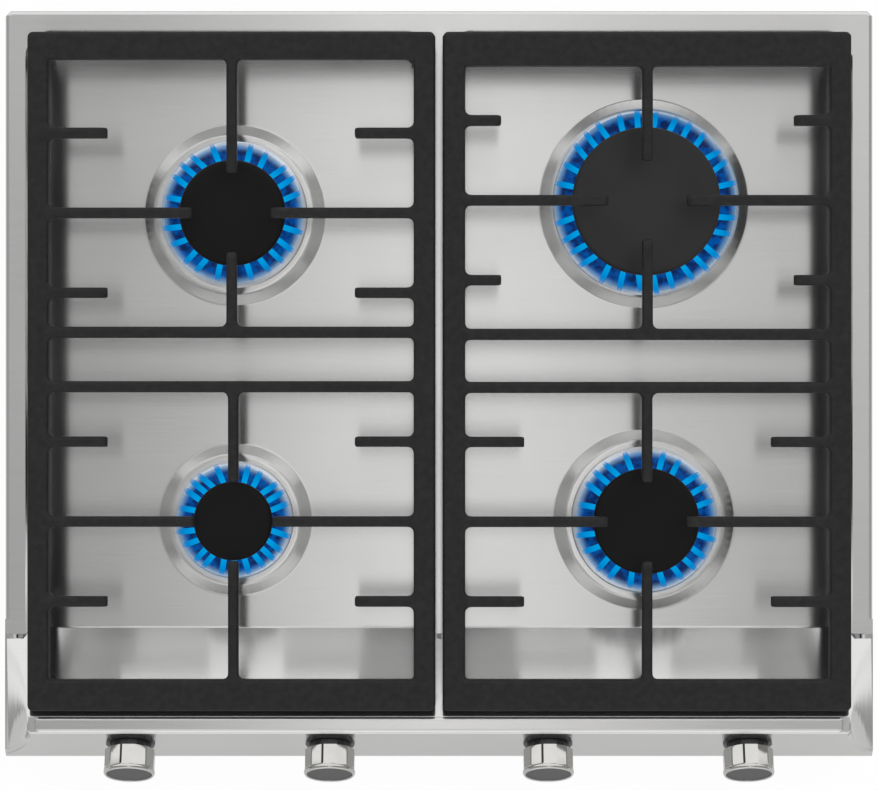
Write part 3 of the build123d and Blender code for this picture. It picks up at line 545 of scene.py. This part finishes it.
# ---- The burner caps ------------------------------------------------------------------------
# A thick steel disc lies on each head, fired with satin black enamel and rounded at its edge. The
# largest one is given a lighter grey enamel than the rest.

CAP_THICK = 0.0045
CAP_STEPS = 120


def enamelled(name, dark, light):
    """Satin black enamel, between two shades of it."""
    material, wire = finish(name)
    peel = speckle(wire, 520.0, 3.0)
    bloom = speckle(wire, 26.0, 3.0)
    coat(wire, {
        "Base Color": bloom.mixed(grey(dark), grey(light)),
        "Roughness": 0.42 + bloom * 0.12 + peel * 0.05,
        "Specular IOR Level": 0.16,
        "Normal": relief(wire, peel, 0.00006, 0.5),
    })
    return material


enamel = enamelled("fired_enamel", 0.0015, 0.0045)
# the largest cap's enamel is a lighter grey than the others
lighter_enamel = enamelled("lighter_enamel", 0.016, 0.027)

for name, (x, y, cap_r, *_) in BURNERS.items():
    cap = bmesh.new()
    high = HEAD_TOP_Z + CAP_THICK
    disc = [
        (0.0, high - 0.0003),
        (cap_r * 0.55, high - 0.0002),
        (cap_r - 0.0040, high),
        (cap_r - 0.0022, high - 0.0001),
        (cap_r - 0.0011, high - 0.0006),
        (cap_r - 0.0004, high - 0.0015),
        (cap_r, high - 0.0027),
        (cap_r, HEAD_TOP_Z + 0.0008),
        (cap_r - 0.0004, HEAD_TOP_Z + 0.0002),
        (cap_r - 0.0012, HEAD_TOP_Z),
        (0.0, HEAD_TOP_Z),
    ]
    spin(cap, disc, (x, y), steps=CAP_STEPS)
    close(cap)
    surface = lighter_enamel if name == "rear_right" else enamel
    lid = piece(f"cap_form_{name}", cap, surface, f"cap_{name}", sharp=40.0)
    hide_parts(f"burner_cap_{name}")

# ---- The flames -----------------------------------------------------------------------------
# Gas burns at every port: a bright azure core a finger's breadth long, inside a deeper blue veil
# that fades outwards. They are looks only, and go with the burner heads. Over the skirt the veil
# also carries a painted reflection of the flames.

FLAME_Z = 0.0172
FLAME_LENGTH = 0.0158
FLAME_WIDTH = 0.0040
FLAME_ROOT = 0.0022  # as far inside the cap's edge
VEIL_ROOT = 0.0014
VEIL_REACH = 0.0168
VEILS = ((0.0150, 0.0215, VEIL_REACH), (0.0162, 0.0195, 0.0125))  # heights at both ends, reach

core_light, wire = finish("flame_core")
reach = wire.node("ShaderNodeAttribute", {"attribute_name": "reach"}, output="Fac")
shader = wire.node(
    "ShaderNodeBsdfPrincipled",
    inputs={
        "Base Color": (0.0, 0.02, 0.08, 1),
        "Roughness": 0.9,
        "Specular IOR Level": 0.0,
        "Emission Color": reach.band(0.1, 0.9).mixed((0.0, 0.33, 0.72, 1), (0.0, 0.20, 0.52, 1)),
        "Emission Strength": 1.0,
        "Alpha": reach.band(0.68, 1.0, 0.95, 0.0),
    },
)
wire.node("ShaderNodeOutputMaterial", inputs={"Surface": shader})

# the veil glows partly as the flames' outer mantle and partly as a painted reflection of the
# flames on the skirt beneath it
veil_and_painted_reflection, wire = finish("flame_veil_and_painted_reflection")
reach = wire.node("ShaderNodeAttribute", {"attribute_name": "reach"}, output="Fac")
# random flicker in the veil's glow; its dark navy end, near the cap, is painted shade of the port
# mouths
flicker_and_port_shade = speckle(wire, 190.0, 2.0)
shader = wire.node(
    "ShaderNodeBsdfPrincipled",
    inputs={
        "Base Color": (0.0, 0.004, 0.03, 1),
        "Roughness": 0.9,
        "Specular IOR Level": 0.0,
        "Emission Color": reach.band(0.45, 0.95).mixed(
            flicker_and_port_shade.band(0.35, 0.65).mixed((0.0, 0.010, 0.065, 1), (0.0, 0.070, 0.30, 1)),
            (0.10, 0.38, 0.68, 1),
        ),
        "Emission Strength": 1.0,
        "Alpha": reach.band(0.42, 1.0, 0.93, 0.0) * (0.85 + flicker_and_port_shade * 0.25),
    },
)
wire.node("ShaderNodeOutputMaterial", inputs={"Surface": shader})


def flame_shape(length, width, lean):
    """One flame lying out along +X from the origin, thick near its root and pointed."""
    shape = bmesh.new()
    outline = (0.80, 0.95, 1.0, 1.0, 0.98, 0.90, 0.62)
    bmesh.ops.create_circle(shape, cap_ends=False, segments=8, radius=width / 2 * outline[0])
    bmesh.ops.rotate(shape, verts=shape.verts, matrix=Matrix.Rotation(math.pi / 2, 3, "Y"))
    rim = list(shape.edges)
    layer = shape.verts.layers.float.new("reach")
    for number, share in enumerate(outline[1:], start=1):
        made = bmesh.ops.extrude_edge_only(shape, edges=rim)["geom"]
        rim = [edge for edge in made if isinstance(edge, bmesh.types.BMEdge)]
        verts = list({vert for edge in rim for vert in edge.verts})
        along = number / (len(outline) - 1)
        middle = sum((vert.co for vert in verts), Vector()) / len(verts)
        grow = share / outline[number - 1]
        for vert in verts:
            vert.co = middle + (vert.co - middle) * grow
            vert.co.x = length * along
            vert.co.z += lean * length * (along**2 - ((number - 1) / (len(outline) - 1)) ** 2)
            vert[layer] = along
    bmesh.ops.contextual_create(shape, geom=rim)
    return shape


for name, (x, y, cap_r, _, _, _, ports) in BURNERS.items():
    flames = bmesh.new()
    flames.verts.layers.float.new("reach")
    for number in range(ports):
        turn = 2 * math.pi * number / ports
        wobble = noise.noise(Vector((number * 1.7, ports, 0.3)))
        sway = noise.noise(Vector((number * 2.3, ports, 5.3)))
        length = FLAME_LENGTH * (1 + 0.20 * wobble)
        single = flame_shape(length, FLAME_WIDTH, 0.22 + 0.1 * wobble)
        place = Matrix.Translation((x, y, FLAME_Z)) @ Matrix.Rotation(turn, 4, "Z")
        place = place @ Matrix.Translation((cap_r - FLAME_ROOT, 0, 0))
        place = place @ Matrix.Rotation(0.5 * sway, 4, "Z")
        bmesh.ops.transform(single, matrix=place, verts=single.verts)
        mesh = bpy.data.meshes.new("single_flame")
        single.to_mesh(mesh)
        single.free()
        flames.from_mesh(mesh)
        bpy.data.meshes.remove(mesh)
    burning = piece(f"flames_{name}", flames, core_light, f"head_{name}", sharp=180.0)
    veil = bmesh.new()
    layer = veil.verts.layers.float.new("reach")
    for low, high, out in VEILS:
        curve = [
            (cap_r - VEIL_ROOT + out * share, low + (high - low) * share**1.6)
            for share in (0, 0.25, 0.5, 0.75, 1.0)
        ]
        spin(veil, curve, (x, y))
    for vert in veil.verts:
        reach = (vert.co.xy - Vector((x, y))).length - cap_r + VEIL_ROOT
        vert[layer] = min(max(reach / VEIL_REACH, 0.0), 1.0)
    veiled = piece(f"flame_veil_and_painted_reflection_{name}", veil, veil_and_painted_reflection, f"head_{name}", sharp=180.0)
    for glowing in (burning, veiled):
        glowing.visible_shadow = False
        glowing.visible_glossy = False

# ---- The pan supports -----------------------------------------------------------------------
# Two cast-iron grates under matt black enamel: a square frame, two bars and long and short
# fingers whose tips slope down. Every finger swells where it joins its rail, the edges are
# soft from the sand mould, and rubber feet keep the legs off the steel.

iron, wire = finish("enamelled_iron")
sand = speckle(wire, 1500.0, 3.0)
lump = speckle(wire, 210.0, 3.0)
dust = speckle(wire, 2600.0, 1.0)
grit = (lump * 0.5 + dust * 0.5).band(0.35, 0.7)
coat(wire, {
    "Base Color": grit.mixed((0.0045, 0.0045, 0.0048, 1), (0.013, 0.013, 0.0135, 1)),
    "Roughness": 0.50 + sand * 0.16,
    "Specular IOR Level": 0.30,
    "Normal": relief(wire, sand * 0.6 + lump * 0.4, 0.00010, 0.6),
})

GRATE_TOP_Z = 0.056
FINGER_LOW_Z = 0.046
FINGER_W = 0.0070
FLARE = 0.0032
VOXEL = 0.00122
EAST, WEST, NORTH, SOUTH = Vector((1, 0)), Vector((-1, 0)), Vector((0, 1)), Vector((0, -1))
# inner faces of the side rails and of the rear rail, and the middles of the two bars
GRATES = {
    "left": ((-0.2637, -0.0171), 0.2192, (0.0347, -0.0021)),
    "right": ((0.0177, 0.2640), 0.2147, (0.0333, -0.0026)),
}
FRONT_RAIL_Y = -0.2000
BAR_W = 0.0076
# middles of the rear and the front cross of fingers
CROSSES = {
    "left": ((-0.1401, 0.1154), (-0.1390, -0.0932)),
    "right": ((0.1409, 0.1239), (0.1406, -0.0934)),
}
SHORT_OFFSET = 0.0540
LEG_OVERLAP = 0.0045
LEG_TOP_Z = FINGER_LOW_Z + 0.0002


def flare(shape, root, way):
    """The swelling where a finger or bar joins its rail, as a low block with slanted ends."""
    side = Vector((-way.y, way.x))
    out = way * FLARE
    half = FINGER_W / 2
    low, high = FINGER_LOW_Z + 0.0004, GRATE_TOP_Z - 0.0001
    corners = (
        root - way * 0.001 + side * (half + FLARE),
        root + side * (half + FLARE * 0.9),
        root + out * 0.28 + side * (half + FLARE * 0.34),
        root + out + side * (half),
        root + out - side * (half),
        root + out * 0.28 - side * (half + FLARE * 0.34),
        root - side * (half + FLARE * 0.9),
        root - way * 0.001 - side * (half + FLARE),
    )
    base = [shape.verts.new((*corner, low)) for corner in corners]
    foot = shape.faces.new(base)
    made = bmesh.ops.extrude_face_region(shape, geom=[foot], use_keep_orig=True)["geom"]
    for vert in made:
        if isinstance(vert, bmesh.types.BMVert):
            vert.co.z = high


for side, ((left, right), rear_y, (rear_bar, front_bar)) in GRATES.items():
    grate = cad_shape(f"grate_{side}")
    spans = ((rear_bar + BAR_W / 2, rear_y), (FRONT_RAIL_Y, front_bar - BAR_W / 2))
    roots = []
    for (x, y), (front, rear) in zip(CROSSES[side], spans):
        roots += [((left, y), EAST), ((right, y), WEST), ((x, front), NORTH), ((x, rear), SOUTH)]
        for offset in (-SHORT_OFFSET, SHORT_OFFSET):
            roots += [((left, y + offset), EAST), ((right, y + offset), WEST)]
    for bar in (rear_bar, front_bar):
        roots += [((left, bar), EAST), ((right, bar), WEST)]
    for root, way in roots:
        flare(grate, Vector(root), way)
    # the legs stay behind the inner faces of their rails
    for vert in grate.verts:
        if vert.co.z < LEG_TOP_Z and vert.co.y < rear_y - 0.002:
            if abs(vert.co.x - left) < LEG_OVERLAP:
                vert.co.x = min(vert.co.x, left)
            if abs(vert.co.x - right) < LEG_OVERLAP:
                vert.co.x = max(vert.co.x, right)
    bmesh.ops.recalc_face_normals(grate, faces=grate.faces)
    support = piece(f"pan_support_{side}", grate, iron, f"pan_support_{side}", sharp=180.0)
    cast = support.modifiers.new("cast_in_one", "REMESH")
    cast.mode = "VOXEL"
    cast.voxel_size = VOXEL
    cast.use_smooth_shade = True
    soften = support.modifiers.new("sand_mould", "SMOOTH")
    soften.factor = 0.5
    soften.iterations = 2
    bpy.context.view_layer.update()
    cast_form = support.evaluated_get(bpy.context.evaluated_depsgraph_get())
    settled = bpy.data.meshes.new_from_object(cast_form)
    support.modifiers.clear()
    support.data = settled
    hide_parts(f"grate_{side}")

rubber, wire = finish("moulded_rubber")
bloom = speckle(wire, 300.0, 2.0)
coat(wire, {
    "Base Color": bloom.mixed((0.010, 0.010, 0.010, 1), (0.026, 0.026, 0.026, 1)),
    "Roughness": 0.7 + bloom * 0.2,
    "Normal": relief(wire, bloom, 0.00008),
})
dress(rubber, "grate_feet_left", "grate_feet_right")

# ---- The knobs ------------------------------------------------------------------------------
# Four moulded knobs, plated bright: twelve flats with a dark groove as the pointer, a round
# rim at the front and a satin dark face let into it. A black bezel with a neck stands behind
# each, and the knob slides over the neck when it is pushed.

KNOB_X = {
    "front_left": -0.2110,
    "rear_left": -0.0745,
    "rear_right": 0.0745,
    "front_right": 0.2110,
}
PANEL_LEAN = math.atan2(21.0, 47.0)
PANEL_FOOT_Y, PANEL_FOOT_Z = -0.2580, 0.0005
KNOB_Z = 0.0280
KNOB_Y = PANEL_FOOT_Y + (KNOB_Z - PANEL_FOOT_Z) * math.tan(PANEL_LEAN)
KNOB_R = 0.0174
KNOB_BACK = 0.0058  # distances along the knob's axis are from the panel's surface
KNOB_RINGS = ((0.0188, 0.01735), (0.0202, KNOB_R))
KNOB_EDGE = 0.0008
KNOB_WALL = 0.0012
RIM = (
    (0.01590, 0.0198),
    (0.01715, 0.0196),
    (0.01738, 0.0201),
    (0.01740, 0.0209),
    (0.01728, 0.0217),
    (0.01695, 0.0223),
    (0.01655, 0.0227),
    (0.01610, 0.0228),
    (0.01570, 0.0226),
    (0.01548, 0.0222),
    (0.01545, 0.0216),
    (0.01590, 0.0198),
)
POINTER = math.radians(105.0)
GROOVE_HALF = math.radians(2.4)
GROOVE_DEPTH = 0.0008

plastic, wire = finish("black_bezel")
mould = speckle(wire, 1600.0, 2.0)
coat(wire, {
    "Base Color": mould.mixed((0.006, 0.006, 0.0065, 1), (0.012, 0.012, 0.013, 1)),
    "Roughness": 0.3 + mould * 0.12,
    "Normal": relief(wire, mould, 0.00004, 0.5),
})

chrome, wire = finish("bright_plating")
flow = speckle(wire, 70.0, 2.0)
coat(wire, {
    "Base Color": flow.mixed((0.46, 0.455, 0.44, 1), (0.55, 0.545, 0.53, 1)),
    "Metallic": 1.0,
    "Roughness": 0.07 + flow * 0.07,
    "Normal": relief(wire, flow, 0.00003, 0.5),
})

satin, wire = finish("knob_face")
turned = speckle(wire, 2200.0, 2.0)
coat(wire, {
    "Base Color": turned.mixed((0.042, 0.042, 0.043, 1), (0.066, 0.066, 0.068, 1)),
    "Metallic": 0.75,
    "Roughness": 0.36 + turned * 0.14,
    "Normal": relief(wire, turned, 0.00002, 0.5),
})

# the pointer groove's faces are coloured near black
near_black_groove, wire = finish("pointer_groove")
coat(wire, {
    "Base Color": speckle(wire, 1500.0).mixed((0.006, 0.006, 0.006, 1), (0.016, 0.016, 0.016, 1)),
    "Roughness": 0.45,
})


def bearing(face):
    """The angle of a face's middle about the knob's own upright axis."""
    middle = face.calc_center_median()
    return math.atan2(middle.y, middle.x)


def to_panel(name):
    """From a knob's own upright axis to its place on the sloping panel."""
    turn = Matrix.Rotation(math.pi / 2 - PANEL_LEAN, 4, "X")
    return Matrix.Translation((KNOB_X[name], KNOB_Y, KNOB_Z)) @ turn


for name in KNOB_X:
    knob = bmesh.new()
    # twelve flats, whose long edges are rounded
    bmesh.ops.create_circle(knob, cap_ends=False, segments=12, radius=KNOB_R)
    bmesh.ops.rotate(knob, verts=knob.verts, matrix=Matrix.Rotation(POINTER - math.pi / 2, 3, "Z"))
    rim = list(knob.edges)
    for vert in knob.verts:
        vert.co.z = KNOB_BACK
    for height, radius in KNOB_RINGS:
        made = bmesh.ops.extrude_edge_only(knob, edges=rim)["geom"]
        rim = [edge for edge in made if isinstance(edge, bmesh.types.BMEdge)]
        for vert in {vert for edge in rim for vert in edge.verts}:
            vert.co.xy = vert.co.xy.normalized() * radius
            vert.co.z = height
    uprights = []
    for edge in knob.edges:
        one, other = edge.verts
        if abs(one.co.z - other.co.z) > 0.003:
            uprights.append(edge)
    bmesh.ops.bevel(
        knob,
        geom=uprights,
        offset=KNOB_EDGE,
        offset_type="OFFSET",
        segments=3,
        profile=0.5,
        affect="EDGES",
        material=-1,
    )
    # the pointer is a groove let in along one of the edges, and open at the back
    groove = [face for face in knob.faces if abs(bearing(face) - POINTER) < GROOVE_HALF]
    walls = bmesh.ops.extrude_face_region(knob, geom=groove)["geom"]
    bmesh.ops.delete(knob, geom=groove, context="FACES_ONLY")
    for vert in {element for element in walls if isinstance(element, bmesh.types.BMVert)}:
        vert.co.xy -= vert.co.xy.normalized() * GROOVE_DEPTH
    back = [
        face
        for face in knob.faces
        if max(vert.co.z for vert in face.verts) < KNOB_BACK + NEARLY
    ]
    bmesh.ops.delete(knob, geom=back, context="FACES")
    for face in knob.faces:
        if abs(bearing(face) - POINTER) < GROOVE_HALF * 1.5:
            face.material_index = 1
    bmesh.ops.transform(knob, matrix=to_panel(name), verts=knob.verts)
    bmesh.ops.recalc_face_normals(knob, faces=knob.faces)
    grip = piece(f"knob_grip_{name}", knob, chrome, f"knob_{name}", sharp=50.0)
    grip.data.materials.append(near_black_groove)
    wall = grip.modifiers.new("wall", "SOLIDIFY")
    wall.thickness = KNOB_WALL
    wall.offset = -1
    flat_faced = grip.modifiers.new("flat_faced", "WEIGHTED_NORMAL")
    flat_faced.keep_sharp = True
    flat_faced.weight = 80

    ring = bmesh.new()
    spin(ring, RIM)
    bmesh.ops.transform(ring, matrix=to_panel(name), verts=ring.verts)
    close(ring)
    round_rim = piece(f"knob_rim_{name}", ring, chrome, f"knob_{name}", sharp=50.0)
    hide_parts(f"knob_shell_{name}")

dress(plastic, "knob_bezels")
dress(satin, *(f"knob_insert_{name}" for name in KNOB_X))

low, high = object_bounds()
